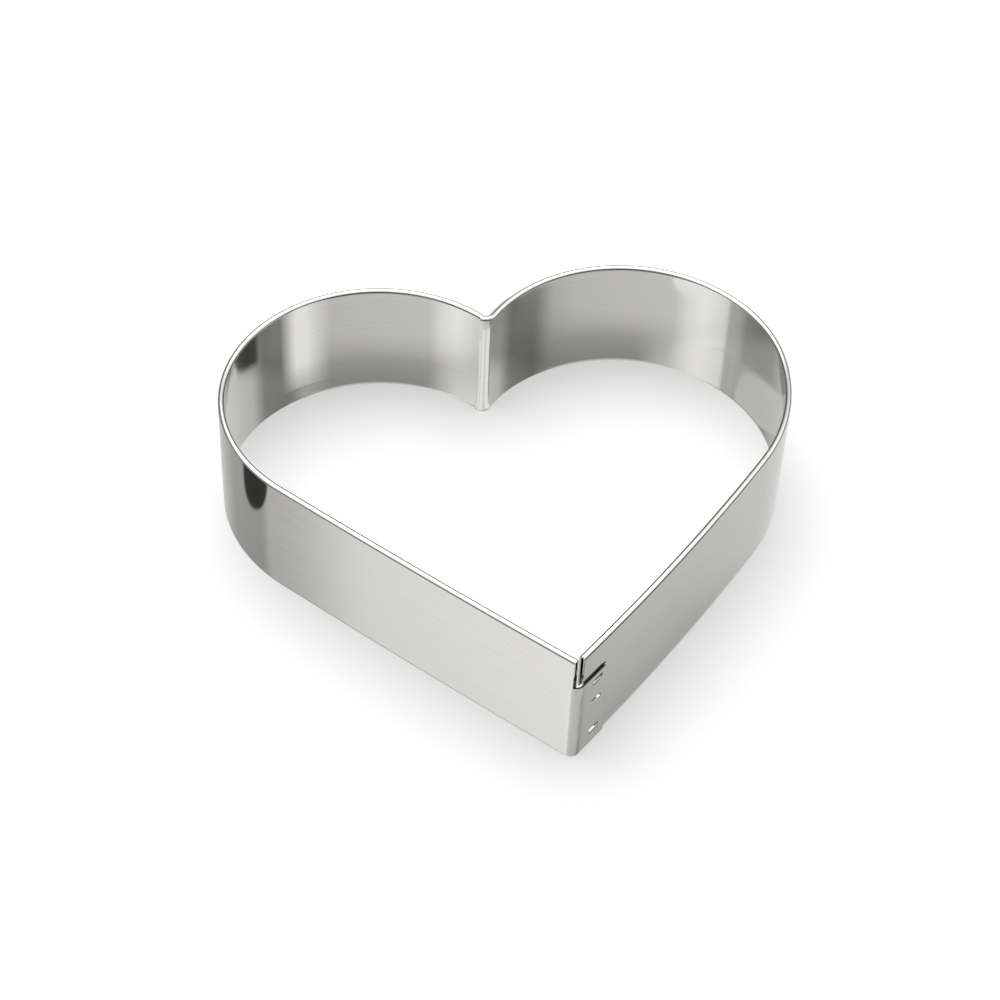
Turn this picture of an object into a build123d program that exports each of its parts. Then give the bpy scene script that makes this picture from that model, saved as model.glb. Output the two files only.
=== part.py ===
from build123d import *
import math
import os

# A heart shaped cookie cutter, bent from two strips of thin steel.
# The cutting edge stands on z = 0 and the folded rim is on top. The heart's axis lies
# along y, with the tip towards -y and the cleft towards +y.

# Strip and its folded rim
strip_height = 25.0
sheet = 0.35
hem_height = 5.8
hem_gap = 0.5

# Outer face of the heart, from the line where it is widest
right_half_width = 53.2
left_half_width = 52.7
tip_depth = 68.5
cleft_height = 18.1
right_side_radius = 520.0
left_side_radius = 1850.0
right_flank_radius = 39.3
left_flank_radius = 31.5
tip_bend_radius = 1.8
cleft_bend_radius = 1.2

# Room between lapped sheets
lap_clearance = 0.02

# Joint at the tip, measured from the corner before it is rounded
notch_depth = 6.8
left_hem_setback = 0.75
right_hem_setback = 1.9
end_clearance = 0.3
tab_reach = 8.8
tab_corner_radius = 1.0
tab_tooth = 1.0
tab_tooth_share = 0.54
slit_overshoot = 0.4
slit_near_height = 0.25
slit_far_height = 0.55

# Tongues lanced out of the tab: their feet are shares of the tab's height, from the cutting edge up
tongue_height_shares = [0.173, 0.607, 0.895]
tongue_inset = 3.0
tongue_length = 2.3
tongue_inner_radius = 0.05
tongue_clearance = 0.05
tongue_hook = 0.25

# Joint at the cleft
seam_angle = 35.0
seam_gap = 0.08
lap_overrun = 0.4
back_lap_reach = 6.0
relief_length = 1.7
relief_width = 0.5

# One overrun for every cut
overrun = 1.0


# Sizes that follow from those above
lap = sheet + lap_clearance
fold_radius = (sheet + hem_gap + sheet) / 2
fold_height = strip_height - fold_radius
notch_floor = strip_height - notch_depth
tongue_reach = tab_reach - tongue_inset
slit_reach = tab_reach - tab_tooth + slit_overshoot


def turn(start, end):
    """The short way round from one angle to another, in degrees."""
    return (end - start + 180) % 360 - 180


def angle_of(centre, point):
    """The direction from a centre to a point, in degrees."""
    return math.degrees(math.atan2(point[1] - centre[1], point[0] - centre[0]))


def point_at(centre, radius, angle):
    """The point of a circle in one direction."""
    return (centre[0] + radius * math.cos(math.radians(angle)),
            centre[1] + radius * math.sin(math.radians(angle)))


def meeting_point(centre_a, reach_a, centre_b, reach_b, near):
    """The point at given distances from two centres, on the side of a third point."""
    apart = math.dist(centre_a, centre_b)
    along = (apart ** 2 + reach_a ** 2 - reach_b ** 2) / (2 * apart)
    aside = math.degrees(math.acos(along / reach_a))
    toward = angle_of(centre_a, centre_b)
    choices = [point_at(centre_a, reach_a, toward + sign * aside) for sign in (1, -1)]
    return min(choices, key=lambda point: math.dist(point, near))


class Half:
    """The centres of the three arcs that make one half of the heart."""

    def __init__(self, hand, half_width, side_radius, flank_radius):
        self.top_radius = (half_width ** 2 + cleft_height ** 2) / (2 * half_width)
        self.top = (hand * (half_width - self.top_radius), 0)
        self.flank = (hand * (half_width - flank_radius), 0)
        self.side = meeting_point(tip, side_radius, self.flank, side_radius - flank_radius,
                                  near=(-hand * side_radius, 0))
        self.widest_angle = 0 if hand > 0 else 180
        self.flank_angle = angle_of(self.side, self.flank)
        self.tip_angle = angle_of(self.side, tip)
        self.side_radius = side_radius
        self.flank_radius = flank_radius
        self.hand = hand

    def side_angle(self, reach):
        """The direction, from the side's centre, of a point that far from the corner."""
        return self.tip_angle + self.hand * math.degrees(reach / self.side_radius)


tip = (0, -tip_depth)
cleft = (0, cleft_height)
right = Half(1, right_half_width, right_side_radius, right_flank_radius)
left = Half(-1, left_half_width, left_side_radius, left_flank_radius)

# The tip bend touches the left side, and the right side where the tab lies outside it.
tip_bend = meeting_point(right.side, right.side_radius + lap - tip_bend_radius,
                         left.side, left.side_radius - tip_bend_radius, near=tip)
# The cleft bend touches the right lobe, and the left lobe where the lap lies inside it.
cleft_bend = meeting_point(right.top, right.top_radius + cleft_bend_radius,
                           left.top, left.top_radius - lap + cleft_bend_radius, near=cleft)

# The origin is under the middle of the heart's overall width and length.
middle_x = (right_half_width - left_half_width) / 2
middle_y = (max(right.top_radius, left.top_radius) + tip_bend[1] - tip_bend_radius) / 2
base = Plane(origin=(-middle_x, -middle_y, 0))


def convex(centre, radius, start, end, inset):
    """An arc of the outer face, curved round the inside of the heart, moved inwards."""
    return CenterArc(centre, radius - inset, start, turn(start, end))


def hollow(centre, radius, start, end, inset):
    """An arc of the outer face, curved the other way, moved inwards."""
    return CenterArc(centre, radius + inset, start, turn(start, end))


def half_arcs(half, side_start, inset):
    """The three arcs of one half, from a point of its side to where the cleft bend begins."""
    convex(half.side, half.side_radius, side_start, half.flank_angle, inset)
    convex(half.flank, half.flank_radius, half.flank_angle, half.widest_angle, inset)
    convex(half.top, half.top_radius, half.widest_angle, angle_of(half.top, cleft_bend), inset)


def upright_plane(centre, radius, angle, inward):
    """A plane square to the wall: its x points into the heart and its y points up."""
    origin = base.from_local_coords((*point_at(centre, radius, angle), 0))
    to_centre = math.radians(angle + (180 if inward else 0))
    x_dir = (math.cos(to_centre), math.sin(to_centre), 0)
    return Plane(origin=origin, x_dir=x_dir, z_dir=Vector(x_dir).cross(Vector(0, 0, 1)))


def hem_profile(plane):
    """The folded rim in section: outer leg, round fold and inner leg."""
    inner_leg_height = hem_height - fold_radius
    with BuildSketch(plane) as profile:
        with Locations((fold_radius, fold_height)):
            Circle(fold_radius)
            Rectangle(2 * fold_radius, fold_radius, align=(Align.CENTER, Align.MAX), mode=Mode.SUBTRACT)
            Rectangle(hem_gap, fold_radius - sheet, align=(Align.CENTER, Align.MIN), mode=Mode.SUBTRACT)
        with Locations((0, fold_height)):
            Rectangle(sheet, fold_height - notch_floor, align=(Align.MIN, Align.MAX))
        with Locations((2 * fold_radius, fold_height)):
            Rectangle(sheet, inner_leg_height, align=(Align.MAX, Align.MAX))
    return profile.sketch


# The angles that end each strip
bend_touch = angle_of(right.side, tip_bend)
right_tip_start = right.side_angle(right_hem_setback)
left_tip_start = left.side_angle(left_hem_setback)
wall_start = bend_touch + math.degrees(end_clearance / right.side_radius)
tab_end = right.side_angle(tab_reach)
bend_right = angle_of(cleft_bend, right.top)
bend_left = angle_of(cleft_bend, left.top)
bend_middle = bend_right + turn(bend_right, bend_left) / 2
seam_end = bend_middle - seam_angle
hem_radius = cleft_bend_radius + fold_radius
seam_start = seam_end - math.degrees(seam_gap / hem_radius)
lap_end = angle_of(left.top, cleft_bend) + math.degrees(lap_overrun / left.top_radius)
back_lap_end = angle_of(right.top, cleft_bend) - math.degrees(back_lap_reach / right.top_radius)

# Tongue section: it leaves the tab at 45 degrees, then stands up behind the right wall
slant = math.sqrt(2)
bend_radius = sheet / 2 + tongue_inner_radius
lip_x = lap + sheet + tongue_clearance + sheet / 2
tongue_rise = lip_x - sheet / 2
window_top = tongue_rise + tongue_clearance + (slant - 1) * sheet / 2
window_floor = lap - (1 + slant) * sheet / 2 - tongue_clearance
lip_top = window_top + tongue_hook


def tongue_planes():
    """Upright planes through the middle of each tongue, on the tab's outer face."""
    foot = upright_plane(right.side, right.side_radius + lap, right.side_angle(tongue_reach), inward=True)
    feet = [foot.origin + Vector(0, 0, share * notch_floor) for share in tongue_height_shares]
    return [Plane(origin, foot.x_dir, foot.z_dir) for origin in feet]


# Left half: lower wall with its tab, folded rim, back lap, tongues
with BuildPart() as left_band:
    with BuildSketch(base):
        with BuildLine():
            convex(right.side, right.side_radius + lap, tab_end, bend_touch, sheet / 2)
            convex(tip_bend, tip_bend_radius, bend_touch, angle_of(left.side, tip_bend), sheet / 2)
            half_arcs(left, angle_of(left.side, tip_bend), sheet / 2)
        trace(line_width=sheet)
    extrude(amount=notch_floor)
    with BuildSketch(base):
        with BuildLine():
            hollow(cleft_bend, cleft_bend_radius - lap, bend_left, bend_right, sheet / 2)
            convex(right.top, right.top_radius + lap, angle_of(right.top, cleft_bend),
                   back_lap_end, sheet / 2)
        trace(line_width=sheet)
    extrude(amount=fold_height)
    with BuildLine(base) as left_hem_path:
        hollow(cleft_bend, cleft_bend_radius - lap, seam_start, bend_left, 0)
        convex(left.top, left.top_radius, angle_of(left.top, cleft_bend), left.widest_angle, 0)
        convex(left.flank, left.flank_radius, left.widest_angle, left.flank_angle, 0)
        convex(left.side, left.side_radius, left.flank_angle, left_tip_start, 0)
    left_hem_start = upright_plane(cleft_bend, cleft_bend_radius - lap, seam_start, inward=False)
    sweep(hem_profile(left_hem_start), path=left_hem_path.wire())
    tab_edge = upright_plane(right.side, right.side_radius + lap, tab_end, inward=True)
    tab_plane = Plane(tab_edge.origin - overrun * tab_edge.x_dir, -tab_edge.z_dir, tab_edge.x_dir)
    tooth_height = tab_tooth_share * notch_floor
    with BuildSketch(tab_plane):
        Polygon((-overrun, -overrun), (0, 0), (tab_tooth, tooth_height), (0, tooth_height),
                (tab_tooth, notch_floor), (tab_tooth, strip_height), (-overrun, strip_height), align=None)
    extrude(amount=overrun + sheet + overrun, mode=Mode.SUBTRACT)
    tab_corner = left_band.edges().filter_by(Axis(tab_edge.origin, tab_edge.x_dir))
    fillet(tab_corner.sort_by_distance(tab_edge.origin)[0], radius=tab_corner_radius)
    for plane in tongue_planes():
        with BuildSketch(plane):
            with Locations((-overrun, 0)):
                Rectangle(sheet + 2 * overrun, window_top, align=Align.MIN)
        extrude(amount=tongue_length / 2, both=True, mode=Mode.SUBTRACT)
        with BuildSketch(plane):
            with BuildLine():
                FilletPolyline((sheet / 2, -sheet), (sheet / 2, 0), (lip_x, tongue_rise),
                               (lip_x, lip_top), radius=bend_radius)
            trace(line_width=sheet)
        extrude(amount=tongue_length / 2, both=True)
left_band.part.label = "left_band"

# Right half: lower wall with its windows, folded rim, slit over the tab, relief at the cleft
with BuildPart() as right_band:
    with BuildSketch(base):
        with BuildLine():
            half_arcs(right, wall_start, sheet / 2)
            hollow(cleft_bend, cleft_bend_radius, bend_right, bend_left, sheet / 2)
            convex(left.top, left.top_radius - lap, angle_of(left.top, cleft_bend), lap_end, sheet / 2)
        trace(line_width=sheet)
    extrude(amount=notch_floor)
    with BuildLine(base) as right_hem_path:
        half_arcs(right, right_tip_start, 0)
        hollow(cleft_bend, cleft_bend_radius, bend_right, seam_end, 0)
    right_hem_start = upright_plane(right.side, right.side_radius, right_tip_start, inward=True)
    sweep(hem_profile(right_hem_start), path=right_hem_path.wire())
    for plane in tongue_planes():
        with BuildSketch(plane):
            with Locations((lap - overrun, window_floor)):
                Rectangle(sheet + 2 * overrun, window_top - window_floor, align=Align.MIN)
        extrude(amount=tongue_length / 2 + tongue_clearance, both=True, mode=Mode.SUBTRACT)
    slit_end = upright_plane(right.side, right.side_radius + overrun, right.side_angle(slit_reach), inward=True)
    slit_plane = Plane(slit_end.origin + Vector(0, 0, notch_floor), -slit_end.z_dir, slit_end.x_dir)
    with BuildSketch(slit_plane):
        Polygon((0, 0), (slit_reach, 0), (slit_reach, slit_near_height), (0, slit_far_height), align=None)
    extrude(amount=overrun + sheet + hem_gap / 2, mode=Mode.SUBTRACT)
    with BuildSketch(base.offset(strip_height)):
        with Locations(Location(point_at(cleft_bend, hem_radius, bend_middle), bend_middle - 90)):
            Ellipse(relief_length / 2, relief_width / 2)
    extrude(amount=-fold_radius, mode=Mode.SUBTRACT)
right_band.part.label = "right_band"

os.makedirs("parts", exist_ok=True)
for band in (left_band, right_band):
    export_step(band.part, "parts/" + band.part.label + ".step")
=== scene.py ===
# %% [markdown]
# A heart shaped cookie cutter.
# The real one is two bright stainless strips. Each strip is folded over at the top into a hem,
# bent round its half of the heart, and lapped on the other strip at the tip and at the cleft.
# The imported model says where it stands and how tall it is, so it is loaded first.

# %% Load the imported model
import math

import bmesh
import bpy
from mathutils import Matrix, Vector


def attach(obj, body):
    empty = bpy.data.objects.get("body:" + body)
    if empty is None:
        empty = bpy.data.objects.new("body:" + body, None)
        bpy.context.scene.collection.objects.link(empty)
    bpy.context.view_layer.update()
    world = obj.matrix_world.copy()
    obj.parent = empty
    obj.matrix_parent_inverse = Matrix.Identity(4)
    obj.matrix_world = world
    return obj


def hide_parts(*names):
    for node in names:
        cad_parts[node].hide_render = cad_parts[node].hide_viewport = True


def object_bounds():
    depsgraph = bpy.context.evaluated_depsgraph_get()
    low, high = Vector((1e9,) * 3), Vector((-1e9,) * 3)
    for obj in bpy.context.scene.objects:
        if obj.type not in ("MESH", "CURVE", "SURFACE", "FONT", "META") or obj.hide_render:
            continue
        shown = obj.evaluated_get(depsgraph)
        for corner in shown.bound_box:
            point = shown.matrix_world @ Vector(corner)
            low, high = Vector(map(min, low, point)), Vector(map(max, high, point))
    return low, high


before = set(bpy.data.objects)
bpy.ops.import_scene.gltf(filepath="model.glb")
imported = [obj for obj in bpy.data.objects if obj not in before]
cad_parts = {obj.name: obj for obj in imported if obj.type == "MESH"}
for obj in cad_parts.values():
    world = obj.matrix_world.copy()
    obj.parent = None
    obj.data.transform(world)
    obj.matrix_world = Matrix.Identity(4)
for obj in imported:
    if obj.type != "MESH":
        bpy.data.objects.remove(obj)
cad_low, cad_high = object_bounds()
mm = 0.001
print("packed nodes:", sorted(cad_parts), "height in mm:", round((cad_high - cad_low).z / mm, 2))

# %% [markdown]
# The strip's sizes. The sheet is thin, and the rim is a round fold about three sheets wide. Below the
# fold the inner leg of the hem is pressed down on the wall, so that its lower edge hardly shows.

# %% Sizes of the strip, in metres
strip_height = cad_high.z
sheet = 0.35 * mm
hem_gap = 0.5 * mm
lap_clearance = 0.02 * mm
notch_depth = 6.8 * mm
lap = sheet + lap_clearance
fold_radius = sheet + hem_gap / 2
fold_height = strip_height - fold_radius
notch_floor = strip_height - notch_depth
print("fold is", round(2 * fold_radius / mm, 2), "mm wide")

# %% [markdown]
# The outline of the heart's outer face. Each half is three arcs that run into each other: a nearly
# straight side, a flank and the round top. Small bends join the halves at the tip and at the cleft.
# Arcs are kept as a centre, a radius and two directions, because a strip is made by spinning its
# section about each centre in turn.

# %% Sizes of the outline, in metres, from the line where the heart is widest
right_half_width = 53.2 * mm
left_half_width = 52.7 * mm
tip_depth = 68.5 * mm
cleft_height = 18.1 * mm
right_side_radius = 520.0 * mm
left_side_radius = 1850.0 * mm
right_flank_radius = 39.3 * mm
left_flank_radius = 31.5 * mm
tip_bend_radius = 1.8 * mm
cleft_bend_radius = 1.2 * mm


def turn(start, end):
    """The short way round from one direction to another."""
    return (end - start + math.pi) % (2 * math.pi) - math.pi


def direction(centre, point):
    """The direction from a centre to a point."""
    return math.atan2(point.y - centre.y, point.x - centre.x)


def point_at(centre, radius, angle):
    """The point of a circle in one direction."""
    return centre + radius * Vector((math.cos(angle), math.sin(angle), 0))


def meeting_point(centre_a, reach_a, centre_b, reach_b, near):
    """The point at given distances from two centres, on the side of a third point."""
    apart = (centre_b - centre_a).length
    along = (apart ** 2 + reach_a ** 2 - reach_b ** 2) / (2 * apart)
    aside = math.acos(along / reach_a)
    toward = direction(centre_a, centre_b)
    choices = [point_at(centre_a, reach_a, toward + sign * aside) for sign in (1, -1)]
    return min(choices, key=lambda point: (point - near).length)


# %% Centres of the arcs
tip = Vector((0, -tip_depth, 0))
cleft = Vector((0, cleft_height, 0))


class Half:
    """The centres of the three arcs of one half, and the directions where they meet."""

    def __init__(self, hand, half_width, side_radius, flank_radius):
        self.hand = hand
        self.side_radius = side_radius
        self.flank_radius = flank_radius
        self.top_radius = (half_width ** 2 + cleft_height ** 2) / (2 * half_width)
        self.top = Vector((hand * (half_width - self.top_radius), 0, 0))
        self.flank = Vector((hand * (half_width - flank_radius), 0, 0))
        self.side = meeting_point(tip, side_radius, self.flank, side_radius - flank_radius,
                                  near=Vector((-hand * side_radius, 0, 0)))
        self.widest = 0 if hand > 0 else math.pi
        self.flank_start = direction(self.side, self.flank)

    def side_angle(self, reach):
        """The direction, from the side's centre, of a point that far from the corner at the tip."""
        return direction(self.side, tip) + self.hand * reach / self.side_radius


right = Half(1, right_half_width, right_side_radius, right_flank_radius)
left = Half(-1, left_half_width, left_side_radius, left_flank_radius)
tip_bend = meeting_point(right.side, right.side_radius + lap - tip_bend_radius,
                         left.side, left.side_radius - tip_bend_radius, near=tip)
cleft_bend = meeting_point(right.top, right.top_radius + cleft_bend_radius,
                           left.top, left.top_radius - lap + cleft_bend_radius, near=cleft)
middle_x = (right_half_width - left_half_width) / 2
middle_y = (max(right.top_radius, left.top_radius) + tip_bend.y - tip_bend_radius) / 2
origin_shift = Vector((-middle_x, -middle_y, 0))
print("cleft bend at", [round(value / mm, 2) for value in cleft_bend + origin_shift])

# %% [markdown]
# The joints. At the tip the left strip turns the corner and ends in a tab on the outside of the right
# strip. At the cleft the right strip goes round the bend and ends inside the left one, and the left
# strip reaches a little way behind the right lobe.

# %% Sizes of the joints, in metres
left_hem_setback = 0.75 * mm
right_hem_setback = 1.9 * mm
end_clearance = 0.3 * mm
tab_reach = 8.8 * mm
tab_corner_radius = 1.0 * mm
tab_tooth = 1.0 * mm
tooth_height = 0.54 * notch_floor
slit_overshoot = 0.4 * mm
slit_near_height = 0.25 * mm
slit_far_height = 0.55 * mm
tongue_heights = [share * notch_floor for share in (0.173, 0.607, 0.895)]
tongue_inset = 3.0 * mm
tongue_length = 2.3 * mm
tongue_clearance = 0.05 * mm
seam_angle = math.radians(35)
seam_gap = 0.08 * mm
lap_overrun = 0.4 * mm
back_lap_reach = 6.0 * mm

bend_touch = direction(right.side, tip_bend)
left_bend_touch = direction(left.side, tip_bend)
wall_start = bend_touch + end_clearance / right.side_radius
tab_end = right.side_angle(tab_reach)
slit_end = right.side_angle(tab_reach - tab_tooth + slit_overshoot)
bend_right = direction(cleft_bend, right.top)
bend_left = direction(cleft_bend, left.top)
right_top_end = direction(right.top, cleft_bend)
left_top_end = direction(left.top, cleft_bend)
seam_end = bend_right + turn(bend_right, bend_left) / 2 - seam_angle
seam_start = seam_end - seam_gap / (cleft_bend_radius + fold_radius)
lap_end = left_top_end + lap_overrun / left.top_radius
back_lap_end = right_top_end - back_lap_reach / right.top_radius

# %% [markdown]
# The section of a folded strip, drawn as one closed line: up the outer face, over the fold, down the
# inner leg, back up inside the fold and down the inner face. The fold is rolled flat on top, with a
# wide round on each side. Each point is its depth into the heart, its height, how far it stands
# further in where the hem is left open, and whether it lies hidden inside the fold. Rows of points on the flat stretches let the strip be shaped
# later, and they are closer together at the foot.

# %% Points of the section
edge_round = 0.06 * mm
row_step = 0.8 * mm
foot_rows = [edge_round, 0.3 * mm, 0.6 * mm, 1.0 * mm]
corner_radius = 0.58 * mm
corner_steps = 11
neck_drop = 0.55 * mm
neck_steps = 4
leg_contact = 0.01 * mm
leg_end_sheet = 0.02 * mm
leg_top_sheet = 0.03 * mm
left_leg_end = notch_floor - 1.1 * mm
right_leg_end = notch_floor - 1.05 * mm
gap_top = strip_height - sheet


def ease(value, start, end):
    """A smooth step from 0 at the start to 1 at the end."""
    share = min(1, max(0, (value - start) / (end - start)))
    return share * share * (3 - 2 * share)


def rows(start, end):
    """Heights from start to end, about one row step apart, both included."""
    count = max(1, round(abs(end - start) / row_step))
    return [start + (end - start) * step / count for step in range(count + 1)]


def rounded_end(x_from, x_to, z):
    """The lower cut edge of the sheet, rounded at both corners, from one face to the other."""
    inset = edge_round if x_to > x_from else -edge_round
    return [(x_from, z + edge_round, 0, 0), (x_from + 0.3 * inset, z + 0.3 * edge_round, 0, 0),
            (x_from + inset, z, 0, 0), (x_to - inset, z, 0, 0),
            (x_to - 0.3 * inset, z + 0.3 * edge_round, 0, 0), (x_to, z + edge_round, 0, 0)]


def lower_section(top):
    """The wall below the notch: up the outer face, across and down the inner face."""
    heights = foot_rows[1:] + rows(foot_rows[-1], top)[1:]
    outer = [(0, z, 0, 0) for z in heights]
    inner = [(sheet, z, 0, 0) for z in reversed(heights)]
    return outer, inner, rounded_end(sheet, 0, 0)


def upper_section(bottom, leg_end):
    """The wall above the notch with its hem: outer face, fold, leg, gap and inner face."""
    fold_foot = strip_height - corner_radius
    points = [(0, z, 0, 0) for z in rows(bottom, fold_height)]
    for middle, start in ((corner_radius, 180), (2 * fold_radius - corner_radius, 90)):
        for step in range(corner_steps + 1):
            angle = math.radians(start - 90 * step / corner_steps)
            points.append((middle + corner_radius * math.cos(angle),
                           fold_foot + corner_radius * math.sin(angle), 0, 0))
    leg_face, gap_face = [], []
    neck = [fold_height - neck_drop * step / neck_steps for step in range(neck_steps)]
    for z in neck + rows(fold_height - neck_drop, leg_end):
        closing = 1 - ease(z, fold_height - neck_drop, fold_height)
        leg_sheet = leg_end_sheet + (leg_top_sheet - leg_end_sheet) * ease(z, leg_end, fold_height)
        pressed = sheet + leg_contact + leg_sheet
        face = 2 * fold_radius + (pressed - 2 * fold_radius) * closing
        back = sheet + hem_gap + (leg_contact - hem_gap) * closing
        leg_face.append((face, z, 2 * fold_radius - face, 0))
        gap_face.append((back, z, sheet + hem_gap - back, 1))
    points += leg_face + gap_face[::-1]
    points += [(sheet + 0.85 * hem_gap, gap_top - 0.04 * mm, 0, 1), (sheet + 0.5 * hem_gap, gap_top, 0, 1),
               (sheet + 0.15 * hem_gap, gap_top - 0.04 * mm, 0, 1)]
    points += [(sheet, z, 0, int(z > leg_end)) for z in reversed(rows(bottom, fold_height))]
    return points


print("points in the hem's section:", len(upper_section(notch_floor, left_leg_end)))

# %% [markdown]
# Spinning a section. A bmesh spin turns a line of edges about a centre and leaves faces behind it.
# Each point keeps its place number in the section, how far along the strip it lies and which way is
# into the heart there, so that later steps can find a stretch of the strip again and press it. Spun
# points carry a rounding error of a few thousandths of a millimetre, so the finished strip is drawn in
# by a hair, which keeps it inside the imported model's box.

# %% A strip that grows by spinning
station_step = 1.0 * mm
bend_step = math.radians(4)
sharp_angle = math.radians(40)
hair_inside = 0.9999


class Strip:
    """One strip of sheet, made by spinning its section along a chain of arcs."""

    def __init__(self, name):
        self.name = name
        self.bm = bmesh.new()
        layers = self.bm.verts.layers
        self.slot = layers.int.new("place in section")
        self.along = layers.float.new("along")
        self.across = layers.float.new("across")
        self.opening = layers.float.new("opening")
        self.hidden = layers.int.new("hidden")
        self.into = layers.float_vector.new("into")
        self.reach = 0
        self.slots_used = 0

    def section(self, points, centre, radius, angle):
        """New points of a section, standing on an arc of the outer face."""
        foot = point_at(centre, radius, angle)
        into = (centre - foot).normalized()
        made = []
        across = points[0][1]
        for place, (x, z, opening, hidden) in enumerate(points):
            if place:
                across += math.dist((x, z), points[place - 1][:2])
            vert = self.bm.verts.new(foot + x * into + Vector((0, 0, z)))
            vert[self.slot] = self.slots_used
            vert[self.along] = self.reach
            vert[self.across] = across
            vert[self.opening] = opening
            vert[self.hidden] = hidden
            vert[self.into] = into
            self.slots_used += 1
            made.append(vert)
        return made

    def close(self, verts):
        """The edges round a loop of points."""
        pairs = zip(verts, verts[1:] + verts[:1])
        return [self.bm.edges.get(pair) or self.bm.edges.new(pair) for pair in pairs]

    def spin(self, verts, centre, radius, start, end, hollow=False, advance=True):
        """Spins a loop about a centre and gives the loop at the far end."""
        angle = turn(start, end)
        length = abs(angle) * radius
        steps = max(2, math.ceil(length / station_step), math.ceil(abs(angle) / bend_step))
        before = len(self.bm.verts)
        spun = bmesh.ops.spin(self.bm, geom=verts + self.close(verts), cent=centre, axis=(0, 0, 1),
                              angle=angle, steps=steps)
        self.bm.verts.ensure_lookup_table()
        for vert in self.bm.verts[before:]:
            out = point_at(Vector(), 1, direction(centre, vert.co))
            vert[self.into] = out if hollow else -out
            vert[self.along] = self.reach + turn(start, direction(centre, vert.co)) / angle * length
        if advance:
            self.reach += length
        last = {vert[self.slot]: vert for vert in spun["geom_last"] if isinstance(vert, bmesh.types.BMVert)}
        return [last[vert[self.slot]] for vert in verts]

    def part_off(self, verts, first, last):
        """Closes the section between two points of a loop, and gives the loop without that stretch."""
        self.bm.faces.new(verts[first:last + 1])
        return verts[:first + 1] + verts[last:]

    def press(self, depth):
        """Moves every point into the heart by a depth that may depend on the point."""
        for vert in self.bm.verts:
            vert.co += depth(vert) * vert[self.into]

    def finish(self, bright, dull_and_shaded):
        """A smooth shaded object with a map of the flat strip, at the origin."""
        bmesh.ops.recalc_face_normals(self.bm, faces=self.bm.faces)
        strip_map = self.bm.loops.layers.uv.new("flat strip")
        self.bm.normal_update()
        for face in self.bm.faces:
            face.smooth = True
            # Painted shade: faces hidden inside the fold and upward cut edges at the notch take the dark second
            # material
            notch_shade = all(abs(vert.co.z - notch_floor) < 0.7 * mm and vert.co.y < 0 for vert in face.verts)
            if all(vert[self.hidden] for vert in face.verts) or notch_shade and abs(face.normal.z) > 0.7:
                face.material_index = 1
            for corner in face.loops:
                corner[strip_map].uv = (corner.vert[self.along] / strip_height,
                                        corner.vert[self.across] / strip_height)
        for edge in self.bm.edges:
            edge.smooth = edge.calc_face_angle(0) < sharp_angle
        bmesh.ops.translate(self.bm, verts=self.bm.verts, vec=origin_shift)
        bmesh.ops.scale(self.bm, verts=self.bm.verts, vec=(hair_inside, hair_inside, 1))
        mesh = bpy.data.meshes.new(self.name)
        self.bm.to_mesh(mesh)
        self.bm.free()
        piece = bpy.data.objects.new(self.name, mesh)
        bpy.context.scene.collection.objects.link(piece)
        mesh.materials.append(bright)
        mesh.materials.append(dull_and_shaded)
        shaded_face_heights = [face.center.z / mm for face in mesh.polygons if face.material_index]
        print(self.name, "faces:", len(mesh.polygons), "length in mm:", round(self.reach / mm, 1),
              "sheared:", len(shaded_face_heights), "from", round(min(shaded_face_heights), 1), "mm up")
        return piece


# %% [markdown]
# The left strip starts at the end of its tab, as plain wall. It runs back to the corner and round the
# bend at the tip. The hem starts a little before the bend ends, on its own, and is welded on the wall
# where the bend is done. From there the whole section goes round the half, and behind the right lobe
# the sheet goes on without a hem.

# %% Left strip
outer, inner, foot_edge = lower_section(notch_floor)
outer_rows = len(outer)
hem_section = upper_section(notch_floor, left_leg_end)

left_strip = Strip("left_strip")
loop = left_strip.section(outer + inner + foot_edge, right.side, right.side_radius + lap, tab_end)
left_strip.bm.faces.new(loop)
loop = left_strip.spin(loop, right.side, right.side_radius + lap, tab_end, bend_touch)
tab_length = left_strip.reach
loop = left_strip.spin(loop, tip_bend, tip_bend_radius, bend_touch, left_bend_touch)
left_hem_start = left.side_angle(left_hem_setback)
left_strip.reach -= abs(turn(left_hem_start, left_bend_touch)) * left.side_radius
left_hem_reach = left_strip.reach
upper = left_strip.section(hem_section, left.side, left.side_radius, left_hem_start)
left_strip.bm.faces.new(upper)
upper = left_strip.spin(upper, left.side, left.side_radius, left_hem_start, left_bend_touch)
bmesh.ops.weld_verts(left_strip.bm, targetmap={upper[0]: loop[outer_rows - 1], upper[-1]: loop[outer_rows]})
loop = loop[:outer_rows] + upper[1:-1] + loop[outer_rows:]
loop = left_strip.spin(loop, left.side, left.side_radius, left_bend_touch, left.flank_start)
loop = left_strip.spin(loop, left.flank, left.flank_radius, left.flank_start, left.widest)
loop = left_strip.spin(loop, left.top, left.top_radius, left.widest, left_top_end)
loop = left_strip.spin(loop, cleft_bend, cleft_bend_radius - lap, bend_left, seam_start, hollow=True)
left_seam_reach = left_strip.reach
fold_start = outer_rows + len(rows(notch_floor, fold_height)) - 2
fold_end = len(loop) - len(foot_edge) - len(inner) - len(rows(notch_floor, fold_height)) + 1
loop = left_strip.part_off(loop, fold_start, fold_end)
loop = left_strip.spin(loop, cleft_bend, cleft_bend_radius - lap, seam_start, bend_right, hollow=True)
loop = left_strip.spin(loop, right.top, right.top_radius + lap, right_top_end, back_lap_end)
left_strip.bm.faces.new(loop)

# %% [markdown]
# The right strip starts behind the tab. Its wall and its hem are apart there, with the slit over the
# tab between them, so both are spun alone up to the slit's end and then go on as one section.

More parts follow.
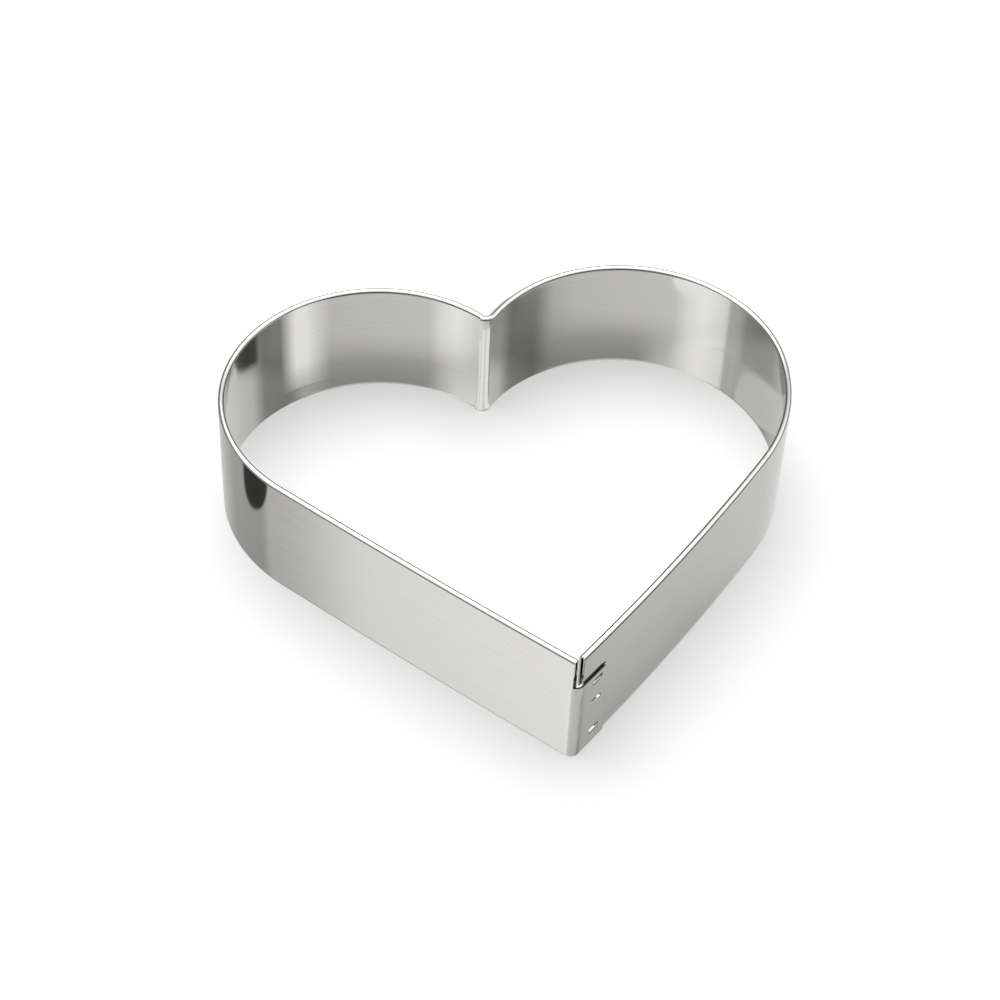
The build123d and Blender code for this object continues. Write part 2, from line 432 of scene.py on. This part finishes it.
# %% Right strip
right_strip = Strip("right_strip")
loop = right_strip.section(outer + inner + foot_edge, right.side, right.side_radius, wall_start)
right_strip.bm.faces.new(loop)
loop = right_strip.spin(loop, right.side, right.side_radius, wall_start, slit_end, advance=False)
right_hem_start = right.side_angle(right_hem_setback)
right_hem_reach = turn(wall_start, right_hem_start) * right.side_radius
right_strip.reach = right_hem_reach
upper = right_strip.section(upper_section(notch_floor + slit_far_height, right_leg_end), right.side,
                            right.side_radius, right_hem_start)
slit_roof = {upper[0][right_strip.slot], upper[-1][right_strip.slot]}
right_strip.bm.faces.new(upper)
upper = right_strip.spin(upper, right.side, right.side_radius, right_hem_start, slit_end)
for vert in right_strip.bm.verts:
    if vert[right_strip.slot] in slit_roof:
        share = (vert[right_strip.along] - right_hem_reach) / (right_strip.reach - right_hem_reach)
        vert.co.z = notch_floor + slit_near_height + (slit_far_height - slit_near_height) * share
slit_reach = right_strip.reach
right_strip.bm.faces.new([loop[outer_rows - 1], upper[0], upper[-1], loop[outer_rows]])
loop = loop[:outer_rows] + upper + loop[outer_rows:]
loop = right_strip.spin(loop, right.side, right.side_radius, slit_end, right.flank_start)
loop = right_strip.spin(loop, right.flank, right.flank_radius, right.flank_start, right.widest)
loop = right_strip.spin(loop, right.top, right.top_radius, right.widest, right_top_end)
right_bend_reach = right_strip.reach
loop = right_strip.spin(loop, cleft_bend, cleft_bend_radius, bend_right, seam_end, hollow=True)
right_seam_reach = right_strip.reach
loop = right_strip.part_off(loop, outer_rows - 1, len(loop) - len(foot_edge) - len(inner))
loop = right_strip.spin(loop, cleft_bend, cleft_bend_radius, seam_end, bend_left, hollow=True)
loop = right_strip.spin(loop, left.top, left.top_radius - lap, left_top_end, lap_end)
right_strip.bm.faces.new(loop)

# %% [markdown]
# Windows and tongues. A press lances three tongues out of the tab and pushes them through the right
# wall, which locks the lap. Each window is made by slicing the sheet at its borders, taking out the
# faces between, and bridging the two rims of the hole. The tongue is the hole's lower side, drawn
# inwards and then up.

# %% Sizes of a window, in metres
tongue_rise = lap + sheet + tongue_clearance
window_height = tongue_rise + 0.12 * mm
tongue_tip_height = window_height + 0.25 * mm
window_spare = 0.45 * mm


def slice_stretch(strip, limit, plane_point, plane_normal):
    """Cuts the faces of the wall's first stretch along a plane."""
    faces = [face for face in strip.bm.faces
             if all(vert[strip.along] < limit and vert.co.z < notch_floor + mm for vert in face.verts)]
    geometry = {part for face in faces for part in (*face.verts, *face.edges, face)}
    bmesh.ops.bisect_plane(strip.bm, geom=list(geometry), dist=1e-7, plane_co=plane_point,
                           plane_no=plane_normal)


def cut_window(strip, limit, radius, start, first, last, low, high):
    """Opens a window between two places along the wall and two heights, and gives its new sides."""
    for reach in (first, last):
        angle = start + reach
        here = point_at(right.side, radius, angle)
        slice_stretch(strip, limit, here, point_at(Vector(), 1, angle + math.pi / 2))
    for height in (low, high):
        slice_stretch(strip, limit, Vector((0, 0, height)), Vector((0, 0, 1)))
    margin = 1e-6
    inside = []
    for face in strip.bm.faces:
        middle = face.calc_center_median()
        angle = direction(right.side, middle) - start
        if (min(first, last) < angle < max(first, last) and low < middle.z < high
                and abs(face.normal.z) < 0.5 and max(vert[strip.along] for vert in face.verts) < limit):
            inside.append(face)
    bmesh.ops.delete(strip.bm, geom=inside, context="FACES")
    rim = [edge for edge in strip.bm.edges if edge.is_boundary]
    return bmesh.ops.bridge_loops(strip.bm, edges=rim)["faces"]


# %% Tongues in the tab
tab_radius = right.side_radius + lap
for height in tongue_heights:
    middle = right.side_angle(tab_reach - tongue_inset)
    first = middle - (tongue_length / 2 + window_spare) / tab_radius
    last = middle + tongue_length / 2 / tab_radius
    slice_at = middle - tongue_length / 2 / tab_radius
    slice_stretch(left_strip, tab_length + mm, point_at(right.side, tab_radius, slice_at),
                  point_at(Vector(), 1, slice_at + math.pi / 2))
    left_strip.bm.normal_update()
    sides = cut_window(left_strip, tab_length + mm, tab_radius, 0, first, last,
                       height, height + window_height)
    floor_faces = [face for face in sides
                   if all(abs(vert.co.z - height) < 1e-6 for vert in face.verts)
                   and direction(right.side, face.calc_center_median()) > slice_at]
    into = -point_at(Vector(), 1, middle)
    for move in (into * tongue_rise + Vector((0, 0, tongue_rise)),
                 Vector((0, 0, tongue_tip_height - tongue_rise))):
        grown = bmesh.ops.extrude_face_region(left_strip.bm, geom=floor_faces)["geom"]
        floor_faces = [part for part in grown if isinstance(part, bmesh.types.BMFace)]
        verts = [part for part in grown if isinstance(part, bmesh.types.BMVert)]
        bmesh.ops.translate(left_strip.bm, verts=verts, vec=move)

# %% Windows in the right wall, a little wider than the tongues
for height in tongue_heights:
    middle = right.side_angle(tab_reach - tongue_inset)
    half = (tongue_length / 2 + tongue_clearance) / right.side_radius
    right_strip.bm.normal_update()
    cut_window(right_strip, slit_reach, right.side_radius, 0, middle - half, middle + half,
               height - 0.1 * mm, height + window_height)
print("open edges after the windows:", sum(edge.is_boundary for edge in left_strip.bm.edges),
      sum(edge.is_boundary for edge in right_strip.bm.edges))

# %% [markdown]
# Shaping. The press that cuts the tab leaves two slanted teeth and a round lower corner at its end.
# At the tip both hems are cut through and stand open, so their legs are moved back off the wall there.

# %% Tab's end
tooth_stretch = 1.5 * mm
for vert in left_strip.bm.verts:
    if vert[left_strip.along] < tooth_stretch and vert.co.z <= notch_floor + edge_round:
        lower = vert.co.z < tooth_height
        share = vert.co.z / tooth_height if lower else (vert.co.z - tooth_height) / (notch_floor - tooth_height)
        cut_back = tab_tooth * share
        below = max(0, tab_corner_radius - vert.co.z)
        cut_back += tab_corner_radius - math.sqrt(tab_corner_radius ** 2 - below ** 2)
        cut_back *= 1 - vert[left_strip.along] / tooth_stretch
        vert.co += cut_back * point_at(Vector(), 1, direction(right.side, vert.co) - math.pi / 2)

# %% Open hems at the tip
open_stretch = 9.0 * mm
for strip, hem_reach in ((left_strip, left_hem_reach), (right_strip, right_hem_reach)):
    strip.press(lambda vert: vert[strip.opening] * (1 - ease(vert[strip.along], hem_reach,
                                                             hem_reach + open_stretch)))

# %% [markdown]
# The finish. The strip is stainless steel, rolled bright, so it mirrors what is round it. The rolls
# leave very fine lines along the strip, which change its roughness and its tone a little.

# %% Colours and nodes


def linear(hex_colour):
    """The linear colour that a shader takes, from an sRGB hex value."""
    parts = [int(hex_colour[i:i + 2], 16) / 255 for i in (1, 3, 5)]
    return [c / 12.92 if c <= 0.04045 else ((c + 0.055) / 1.055) ** 2.4 for c in parts] + [1]


def add_node(tree, kind, inputs=None, **settings):
    """Adds a node, sets its settings and its inputs, and links any input that is given a socket."""
    node = tree.nodes.new(kind)
    for name, value in settings.items():
        setattr(node, name, value)
    for name, value in (inputs or {}).items():
        if isinstance(value, bpy.types.NodeSocket):
            tree.links.new(value, node.inputs[name])
        else:
            node.inputs[name].default_value = value
    return node


def new_material(name):
    """An empty material with its output node."""
    material = bpy.data.materials.new(name)
    material.use_nodes = True
    tree = material.node_tree
    tree.nodes.clear()
    return material, tree, tree.nodes.new("ShaderNodeOutputMaterial")


# %% Bright rolled stainless steel
steel_colour = "#dfdedb"
line_spacing = 0.4 * mm
line_length = 60 * mm
steel, tree, output = new_material("bright_rolled_stainless")
flat = add_node(tree, "ShaderNodeUVMap", uv_map="flat strip")
rolled = add_node(tree, "ShaderNodeMapping", {"Vector": flat.outputs[0],
                                              "Scale": (strip_height / line_length, strip_height / line_spacing, 1)})
lines = add_node(tree, "ShaderNodeTexNoise", {"Vector": rolled.outputs[0], "Scale": 1.0, "Detail": 3.0})
softness = add_node(tree, "ShaderNodeMapRange", {"Value": lines.outputs[0], "From Min": 0.3, "From Max": 0.7,
                                                 "To Min": 0.05, "To Max": 0.11})
tone = add_node(tree, "ShaderNodeMapRange", {"Value": lines.outputs[0], "From Min": 0.3, "From Max": 0.7,
                                             "To Min": 0.95, "To Max": 1.0})
shade = add_node(tree, "ShaderNodeVectorMath", {0: linear(steel_colour)[:3], "Scale": tone.outputs[0]},
                 operation="SCALE")
metal = add_node(tree, "ShaderNodeBsdfPrincipled", {"Base Color": shade.outputs[0], "Metallic": 1.0,
                                                    "Roughness": softness.outputs[0]})
tree.links.new(metal.outputs[0], output.inputs["Surface"])

# %% Sheared edges and the inside of the fold: rougher steel, darkened as painted shade of the crevices at the notch and the gap in the fold
sheared_and_shade, tree, output = new_material("sheared_edge_painted_shade")
dull_and_shaded = add_node(tree, "ShaderNodeBsdfPrincipled", {"Base Color": linear("#4a4844"), "Metallic": 1.0,
                                                   "Roughness": 0.45})
tree.links.new(dull_and_shaded.outputs[0], output.inputs["Surface"])

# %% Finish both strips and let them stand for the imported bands
left_piece = left_strip.finish(steel, sheared_and_shade)
right_piece = right_strip.finish(steel, sheared_and_shade)
for piece, node in ((left_piece, "left_band"), (right_piece, "right_band")):
    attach(piece, "root")
    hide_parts(node)

# %% [markdown]
# The studio: a pale floor, a white surround and soft light from above. Bright metal shows only what
# stands round it, so its look comes from panels and flags. The walls look down at the floor, and see
# it as a thin veil over a ring of panels beyond. The rim's round fold sees the horizon, which is
# kept dark, so that each side of the rim gets a dark line with white between them.

# %% Floor
floor_half = 3.0
floor_veil = 0.1
floor_bm = bmesh.new()
bmesh.ops.create_grid(floor_bm, x_segments=1, y_segments=1, size=floor_half)
floor_mesh = bpy.data.meshes.new("floor")
floor_bm.to_mesh(floor_mesh)
floor_bm.free()
floor = bpy.data.objects.new("floor", floor_mesh)
bpy.context.scene.collection.objects.link(floor)
paper, tree, output = new_material("white_paper")
diffuse = add_node(tree, "ShaderNodeBsdfDiffuse", {"Color": linear("#f4f4f4")})
glow = add_node(tree, "ShaderNodeEmission", {"Color": linear("#ffffff"), "Strength": 1.0})
path = add_node(tree, "ShaderNodeLightPath")
lift = add_node(tree, "ShaderNodeMixShader", {"Fac": 0.3, 1: diffuse.outputs[0], 2: glow.outputs[0]})
clear = add_node(tree, "ShaderNodeBsdfTransparent")
veil = add_node(tree, "ShaderNodeMixShader", {"Fac": floor_veil, 1: clear.outputs[0], 2: diffuse.outputs[0]})
seen = add_node(tree, "ShaderNodeMixShader",
                {"Fac": path.outputs["Is Glossy Ray"], 1: lift.outputs[0], 2: veil.outputs[0]})
tree.links.new(seen.outputs[0], output.inputs["Surface"])
floor_mesh.materials.append(paper)

# %% World: panels and flags by compass direction below the horizon, and a white dome above it
world = bpy.data.worlds.new("studio")
bpy.context.scene.world = world
world.use_nodes = True
tree = world.node_tree
tree.nodes.clear()
place = add_node(tree, "ShaderNodeTexCoord")
axes = add_node(tree, "ShaderNodeSeparateXYZ", {0: place.outputs["Generated"]})
compass = add_node(tree, "ShaderNodeMath", {0: axes.outputs["Y"], 1: axes.outputs["X"]}, operation="ARCTAN2")
full_turn = add_node(tree, "ShaderNodeMapRange", {"Value": compass.outputs[0], "From Min": -math.pi,
                                                  "From Max": math.pi})


def add_ramp(tree, factor, stops):
    """A colour ramp with its stops given as pairs of a place from 0 to 1 and a brightness."""
    ramp = add_node(tree, "ShaderNodeValToRGB", {"Fac": factor})
    elements = ramp.color_ramp.elements
    for place, grey in stops[2:]:
        elements.new(place)
    for element, (place, grey) in zip(elements, stops):
        element.position = place
        element.color = (grey, grey, grey, 1)
    return ramp


panels = [(-180, 0.50), (-177, 0.90), (-158, 1.08), (-147, 0.98), (-134, 0.68), (-60, 0.60), (-42, 0.52),
          (-27, 0.21), (-3, 0.24), (10, 0.58), (30, 0.68), (75, 0.80), (110, 0.50), (130, 0.34), (163, 0.32),
          (171, 0.50), (180, 0.50)]
heights = [(-1.0, 0.0), (-0.61, 0.0), (-0.56, 0.5), (-0.44, 0.5), (-0.34, 0.40), (-0.12, 0.40), (0.04, 0.5),
           (0.31, 1.0), (1.0, 1.0)]
horizon_spread = 4.5
back_sink = 12.0
ring = add_ramp(tree, full_turn.outputs[0], [((degrees + 180) / 360, level) for degrees, level in panels])
depth = add_node(tree, "ShaderNodeMath", {0: axes.outputs["Y"], 1: axes.outputs["Y"]}, operation="MULTIPLY")
above = add_node(tree, "ShaderNodeMath", {0: axes.outputs["Z"], 1: 0.0}, operation="GREATER_THAN")
reach = add_node(tree, "ShaderNodeMath", {0: depth.outputs[0], 1: above.outputs[0]}, operation="MULTIPLY")
spread = add_node(tree, "ShaderNodeMath", {0: reach.outputs[0], 1: horizon_spread, 2: 1.0},
                  operation="MULTIPLY_ADD")
to_back = add_node(tree, "ShaderNodeMath", {0: axes.outputs["Y"], 1: 0.0}, operation="MAXIMUM")
sinking = add_node(tree, "ShaderNodeMath", {0: to_back.outputs[0], 1: back_sink, 2: 1.0}, operation="MULTIPLY_ADD")
sunk = add_node(tree, "ShaderNodeMath", {0: axes.outputs["Z"], 1: sinking.outputs[0]}, operation="MULTIPLY")
lowest = add_node(tree, "ShaderNodeMath", {0: sunk.outputs[0], 1: axes.outputs["Z"]}, operation="MINIMUM")
spread_height = add_node(tree, "ShaderNodeMath", {0: lowest.outputs[0], 1: spread.outputs[0]}, operation="DIVIDE")
height_share = add_node(tree, "ShaderNodeMapRange", {"Value": spread_height.outputs[0], "From Min": -1.0})
zones = add_ramp(tree, height_share.outputs[0], [((height + 1) / 2, zone) for height, zone in heights])
to_horizon = add_node(tree, "ShaderNodeMapRange", {"Value": zones.outputs["Color"], "From Max": 0.5})
to_dome = add_node(tree, "ShaderNodeMapRange", {"Value": zones.outputs["Color"], "From Min": 0.5})
path = add_node(tree, "ShaderNodeLightPath")
low_panels = add_node(tree, "ShaderNodeBackground", {"Color": ring.outputs["Color"]})
dark_horizon = add_node(tree, "ShaderNodeBackground", {"Color": linear("#262626")})
dome = add_node(tree, "ShaderNodeBackground", {"Color": linear("#ffffff"), "Strength": 1.35})
lower = add_node(tree, "ShaderNodeMixShader", {"Fac": to_horizon.outputs[0], 1: low_panels.outputs[0],
                                               2: dark_horizon.outputs[0]})
mirrored = add_node(tree, "ShaderNodeMixShader", {"Fac": to_dome.outputs[0], 1: lower.outputs[0],
                                                  2: dome.outputs[0]})
ambient = add_node(tree, "ShaderNodeBackground", {"Color": linear("#ffffff"), "Strength": 0.75})
white = add_node(tree, "ShaderNodeBackground", {"Color": linear("#ffffff"), "Strength": 1.0})
for_gloss = add_node(tree, "ShaderNodeMixShader", {"Fac": path.outputs["Is Glossy Ray"], 1: ambient.outputs[0],
                                                   2: mirrored.outputs[0]})
for_camera = add_node(tree, "ShaderNodeMixShader", {"Fac": path.outputs["Is Camera Ray"], 1: for_gloss.outputs[0],
                                                    2: white.outputs[0]})
world_output = add_node(tree, "ShaderNodeOutputWorld", {"Surface": for_camera.outputs[0]})

# %% [markdown]
# Cards. A few small cards lie on the floor near the walls or stand close to them. Only the metal sees them, so they
# are painted reflections and painted shade in the steel. Each point of a card keeps how much it covers, so that its
# border can be soft.

# %% Card material: painted reflections, a glow that only the metal sees
painted_reflection, tree, output = new_material("painted_reflection_cards")
cover = add_node(tree, "ShaderNodeAttribute", attribute_name="cover")
level = add_node(tree, "ShaderNodeAttribute", attribute_name="level")
path = add_node(tree, "ShaderNodeLightPath")
# The glow is painted reflection: it lights nothing and only glossy rays see it
painted_glow = add_node(tree, "ShaderNodeEmission", {"Strength": level.outputs["Fac"]})
clear = add_node(tree, "ShaderNodeBsdfTransparent")
shown = add_node(tree, "ShaderNodeMath", {0: cover.outputs["Fac"], 1: path.outputs["Is Glossy Ray"]},
                 operation="MULTIPLY")
card_mix = add_node(tree, "ShaderNodeMixShader", {"Fac": shown.outputs[0], 1: clear.outputs[0], 2: painted_glow.outputs[0]})
tree.links.new(card_mix.outputs[0], output.inputs["Surface"])


def finish_card(name, bm, level):
    """Turns a mesh with a cover value at each point into a card of one brightness, a painted reflection."""
    layer = bm.verts.layers.float.new("level")
    for vert in bm.verts:
        vert[layer] = level
    mesh = bpy.data.meshes.new(name)
    bm.to_mesh(mesh)
    bm.free()
    mesh.materials.append(painted_reflection)
    card = bpy.data.objects.new(name, mesh)
    bpy.context.scene.collection.objects.link(card)


def flat_card(name, middle, half_length, half_width, turned, soft, level, cover=1.0, corners=48):
    """A card that lies on the floor, oval or with four corners, with a soft border; sizes in millimetres."""
    bm = bmesh.new()
    layer = bm.verts.layers.float.new("cover")
    bmesh.ops.create_circle(bm, cap_ends=True, segments=corners, radius=1)
    for vert in bm.verts:
        vert[layer] = 0
    border = bmesh.ops.inset_region(bm, faces=bm.faces[:], thickness=soft, use_boundary=True)["faces"]
    for face in set(bm.faces) - set(border):
        for vert in face.verts:
            vert[layer] = cover
    if corners == 4:
        bmesh.ops.rotate(bm, verts=bm.verts, matrix=Matrix.Rotation(math.pi / 4, 3, "Z"))
        bmesh.ops.scale(bm, verts=bm.verts, vec=(math.sqrt(2), math.sqrt(2), 1))
    place = Matrix.Translation(Vector((*middle, 0.3)) * mm) @ Matrix.Rotation(math.radians(turned), 4, "Z")
    place = place @ Matrix.Diagonal((half_length * mm, half_width * mm, 1, 1))
    bmesh.ops.transform(bm, matrix=place, verts=bm.verts)
    finish_card(name, bm, level)


def curved_card(name, centre, profile, angles, level):
    """A card spun round a lobe; the profile gives radius, height and cover, the angles cover too."""
    bm = bmesh.new()
    layer = bm.verts.layers.float.new("cover")
    line = [bm.verts.new(centre + origin_shift + point_at(Vector(), radius, math.radians(angles[0][0]))
                         + Vector((0, 0, height))) for radius, height, _ in profile]
    for vert, (_, _, cover) in zip(line, profile):
        vert[layer] = cover
    edges = [bm.edges.new(pair) for pair in zip(line, line[1:])]
    bmesh.ops.spin(bm, geom=line + edges, cent=centre + origin_shift, axis=(0, 0, 1), steps=40,
                   angle=math.radians(angles[-1][0] - angles[0][0]))
    for vert in bm.verts:
        here = math.degrees(direction(centre + origin_shift, vert.co))
        share = 0
        for (start, before), (end, after) in zip(angles, angles[1:]):
            if min(start, end) - 0.01 <= here <= max(start, end) + 0.01:
                share = before + (after - before) * (here - start) / (end - start)
        vert[layer] *= share
    finish_card(name, bm, level)


# %% Painted reflections on the floor: a dark one outside the left flank and pale ones by the other bends
# Painted reflections: the metal shows these cards as dark and pale patches on its walls
flat_card("left outer painted dark reflection", (-73.2, 12.6), 13.0, 8.2, -24, 0.08, 0.04)
flat_card("right painted pale reflection", (41.5, 21.2), 9.5, 13.8, -11.5, 0.05, 0.62, corners=4)
flat_card("tip painted pale reflection", (9.5, -58.0), 10.5, 9.4, 0, 0.1, 0.62, corners=4)

# %% Curved cards by the back walls: a painted bright reflection, a painted dark reflection, and painted shade at the foot
left_inner = left.top_radius - sheet
right_inner = right.top_radius - sheet
# Painted reflections: a bright band and a dark patch that only the metal shows
curved_card("left painted bright reflection", left.top,
            [(left_inner - 2.5 * mm, 0.4 * mm, 0.3), (left_inner - 2.5 * mm, 7 * mm, 1),
             (left_inner - 2.5 * mm, 24 * mm, 1)], [(118, 0), (112, 1), (108, 1), (99, 0)], 1.02)
curved_card("left inner painted dark reflection", left.top,
            [(left_inner - 3 * mm, 10.5 * mm, 0), (left_inner - 3 * mm, 12.5 * mm, 1),
             (left_inner - 3 * mm, 21 * mm, 1)], [(135, 0), (132, 1), (127, 1), (125, 0)], 0.06)
curved_card("cleft painted pale reflection", cleft_bend, [(1.3 * mm, 0.3 * mm, 1), (25 * mm, 0.3 * mm, 1)],
            [(-138, 0), (-126, 0.95), (-100, 0.95), (-90, 0.4), (-78, 0.4), (-68, 0.95), (-30, 0.95), (-14, 0)], 1.05)
# Painted shade: dark cards by the walls' foot darken the walls' lower part in the metal's reflection
foot_shade = [(14.0, 0), (10.5, 0.12), (6.5, 0.38), (2.0, 0.5), (0.1, 0.5)]
curved_card("left foot painted shade", left.top,
            [(left_inner - away * mm, 0.3 * mm, cover) for away, cover in foot_shade],
            [(112, 0), (100, 1), (65, 1), (42, 0)], 0.05)
curved_card("right foot painted shade", right.top,
            [(right_inner - away * mm, 0.3 * mm, cover) for away, cover in foot_shade],
            [(60, 0), (72, 1), (108, 1), (124, 0)], 0.05)
outer_shade = [(0.1, 0.26), (1.0, 0.235), (3.0, 0.15), (5.0, 0.105), (9.0, 0.03), (12.0, 0)]
curved_card("right outer painted shade", right.side,
            [(right.side_radius + away * mm, 0.3 * mm, cover) for away, cover in outer_shade],
            [(math.degrees(right.side_angle(-6 * mm)), 0), (math.degrees(right.side_angle(12 * mm)), 1),
             (math.degrees(right.side_angle(40 * mm)), 1), (math.degrees(right.flank_start), 0)], 0.05)

# %% Soft light from above
lamp_data = bpy.data.lights.new("overhead", "AREA")
lamp_data.shape = "DISK"
lamp_data.size = 0.9
lamp_data.energy = 6.0
lamp = bpy.data.objects.new("overhead", lamp_data)
lamp.location = (-0.06, 0.3, 0.85)
lamp.rotation_euler = (-lamp.location).to_track_quat("-Z", "Y").to_euler()
bpy.context.scene.collection.objects.link(lamp)

# %% [markdown]
# The camera stands in front, a little to the left, and looks down at 46 degrees.

# %% Camera
camera_azimuth = math.radians(-12.115)
camera_elevation = math.radians(46.236)
camera_roll = math.radians(2.759)
camera_target = Vector((-1.43, 13.29, -0.09)) * mm
camera_distance = 477.06 * mm
camera_data = bpy.data.cameras.new("camera")
camera_data.sensor_width = 36.0
camera_data.lens = 90.76
camera = bpy.data.objects.new("camera", camera_data)
back = Vector((math.sin(camera_azimuth) * math.cos(camera_elevation),
               -math.cos(camera_azimuth) * math.cos(camera_elevation), math.sin(camera_elevation)))
level = Vector((math.cos(camera_azimuth), math.sin(camera_azimuth), 0))
upright = back.cross(level)
side = level * math.cos(camera_roll) + upright * math.sin(camera_roll)
over = upright * math.cos(camera_roll) - level * math.sin(camera_roll)
turned = Matrix((side, over, back)).transposed().to_4x4()
camera.matrix_world = Matrix.Translation(camera_target + back * camera_distance) @ turned
bpy.context.scene.collection.objects.link(camera)
bpy.context.scene.camera = camera

bpy.context.scene.view_settings.view_transform = "Standard"
